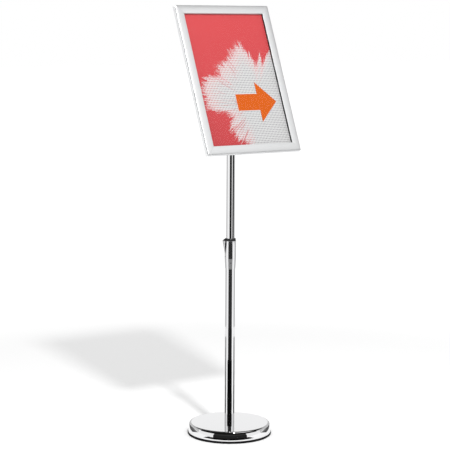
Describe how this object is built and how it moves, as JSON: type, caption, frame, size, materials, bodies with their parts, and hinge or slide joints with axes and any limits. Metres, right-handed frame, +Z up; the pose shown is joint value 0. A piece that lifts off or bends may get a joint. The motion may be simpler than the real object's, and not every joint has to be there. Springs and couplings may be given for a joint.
{
  "type": "sign stand",
  "caption": "Telescopic floor sign stand: a round weighted foot, a two-part chrome pole with a release collar, and a tilting, turning snap frame with hinged covers over a printed sheet.",
  "frame": {"origin": "on the floor, on the axis of the pole", "axes": "+Z up along the pole; the sign faces -Y and leans back toward +Y; +X is to the right of a person facing the sign"},
  "size_m": [0.3274, 0.248, 1.2637],
  "materials": {
    "foam_black": "closed-cell foam",
    "steel_zinc": "zinc plated",
    "trim_black": "satin black",
    "chrome_foot": "polished chrome",
    "iron_cast": "painted black",
    "chrome_low": "polished chrome",
    "chrome_collar": "polished chrome",
    "steel_dark": "blackened",
    "plastic_black": "moulded, satin",
    "steel_spring": "blue-grey spring steel",
    "chrome_lever": "polished chrome",
    "rubber_pad": "dense friction rubber",
    "chrome_up": "polished chrome",
    "alu_cast": "tumbled casting",
    "nylon": "natural nylon",
    "knob_black": "moulded, fine texture",
    "brass": "turned",
    "alu_plate": "pressed sheet",
    "rivet_alu": "plain",
    "backing_grey": "smooth sheet",
    "poster_print": "printed, red with an orange arrow",
    "clear_sheet": "clear",
    "alu_rail": "satin anodised",
    "alu_cover": "satin anodised"
  },
  "bodies": {
    "foot": {"base_underlay": "foam_black", "base_plate": "steel_zinc", "base_edge_ring": "trim_black", "base_cover": "chrome_foot", "base_weight": "iron_cast", "base_bolt": "steel_zinc", "base_washer": "steel_zinc", "lower_tube_plug": "steel_zinc", "lower_tube": "chrome_low", "clamp_collar": "chrome_collar", "collar_screws": "steel_dark", "collar_cap": "plastic_black", "lever_pin": "steel_zinc", "lever_spring": "steel_spring"},
    "lever": {"release_lever": "chrome_lever", "brake_pad": "rubber_pad"},
    "slider": {"glide_bush": "plastic_black"},
    "mast": {"upper_tube": "chrome_up", "head_fork": "alu_cast", "head_screw": "steel_dark", "tilt_bolt": "steel_dark", "friction_washers": "nylon", "knob_washer": "steel_zinc"},
    "knob": {"tilt_knob": "knob_black", "knob_insert": "brass"},
    "arm": {"tilt_arm": "alu_cast", "pivot_washer": "nylon", "pivot_inner_washer": "steel_zinc", "pivot_nut": "steel_zinc"},
    "panel": {"mount_plate": "alu_plate", "mount_rivets": "rivet_alu", "back_panel": "backing_grey", "poster": "poster_print", "cover_sheet": "clear_sheet", "corner_brackets": "steel_zinc", "snap_springs": "steel_spring", "rail_bottom": "alu_rail", "rail_right": "alu_rail", "rail_top": "alu_rail", "rail_left": "alu_rail"},
    "snap_bottom": {"cover_bottom": "alu_cover"},
    "snap_right": {"cover_right": "alu_cover"},
    "snap_top": {"cover_top": "alu_cover"},
    "snap_left": {"cover_left": "alu_cover"}
  },
  "joints": [
    {"name": "pole_slide", "type": "slide", "parent": "foot", "child": "slider", "axis": [0, 0, 1], "range_m": [-0.4, 0.029]},
    {"name": "mast_swivel", "type": "hinge", "parent": "slider", "child": "mast", "pos_m": [0, 0, 0.6], "axis": [0, 0, 1], "continuous": true},
    {"name": "head_tilt", "type": "hinge", "parent": "mast", "child": "arm", "pos_m": [0, 0, 1.041], "axis": [-1, 0, 0], "range_deg": [-22.4, 67.6]},
    {"name": "knob_turn", "type": "hinge", "parent": "mast", "child": "knob", "pos_m": [0.018, 0, 1.041], "axis": [1, 0, 0], "continuous": true},
    {"name": "panel_turn", "type": "hinge", "parent": "arm", "child": "panel", "pos_m": [0, -0.01988, 1.04919], "axis": [0, -0.9245, 0.3811], "range_deg": [0, 90]},
    {"name": "snap_bottom_hinge", "type": "hinge", "parent": "panel", "child": "snap_bottom", "pos_m": [0, -0.11901, 0.84988], "axis": [1, 0, 0], "range_deg": [0, 95]},
    {"name": "snap_right_hinge", "type": "hinge", "parent": "panel", "child": "snap_right", "pos_m": [0.16055, -0.03439, 1.05518], "axis": [0, 0.3811, 0.9245], "range_deg": [0, 95]},
    {"name": "snap_top_hinge", "type": "hinge", "parent": "panel", "child": "snap_top", "pos_m": [0, 0.05022, 1.26047], "axis": [-1, 0, 0], "range_deg": [0, 95]},
    {"name": "snap_left_hinge", "type": "hinge", "parent": "panel", "child": "snap_left", "pos_m": [-0.16055, -0.03439, 1.05518], "axis": [0, -0.3811, -0.9245], "range_deg": [0, 95]},
    {"name": "lever_press", "type": "hinge", "parent": "foot", "child": "lever", "pos_m": [-0.01245, 0.00872, 0.552], "axis": [0.5736, 0.8192, 0], "range_deg": [0, 5], "stiffness_Nm_per_rad": 2, "springref_deg": -1.15}
  ]
}
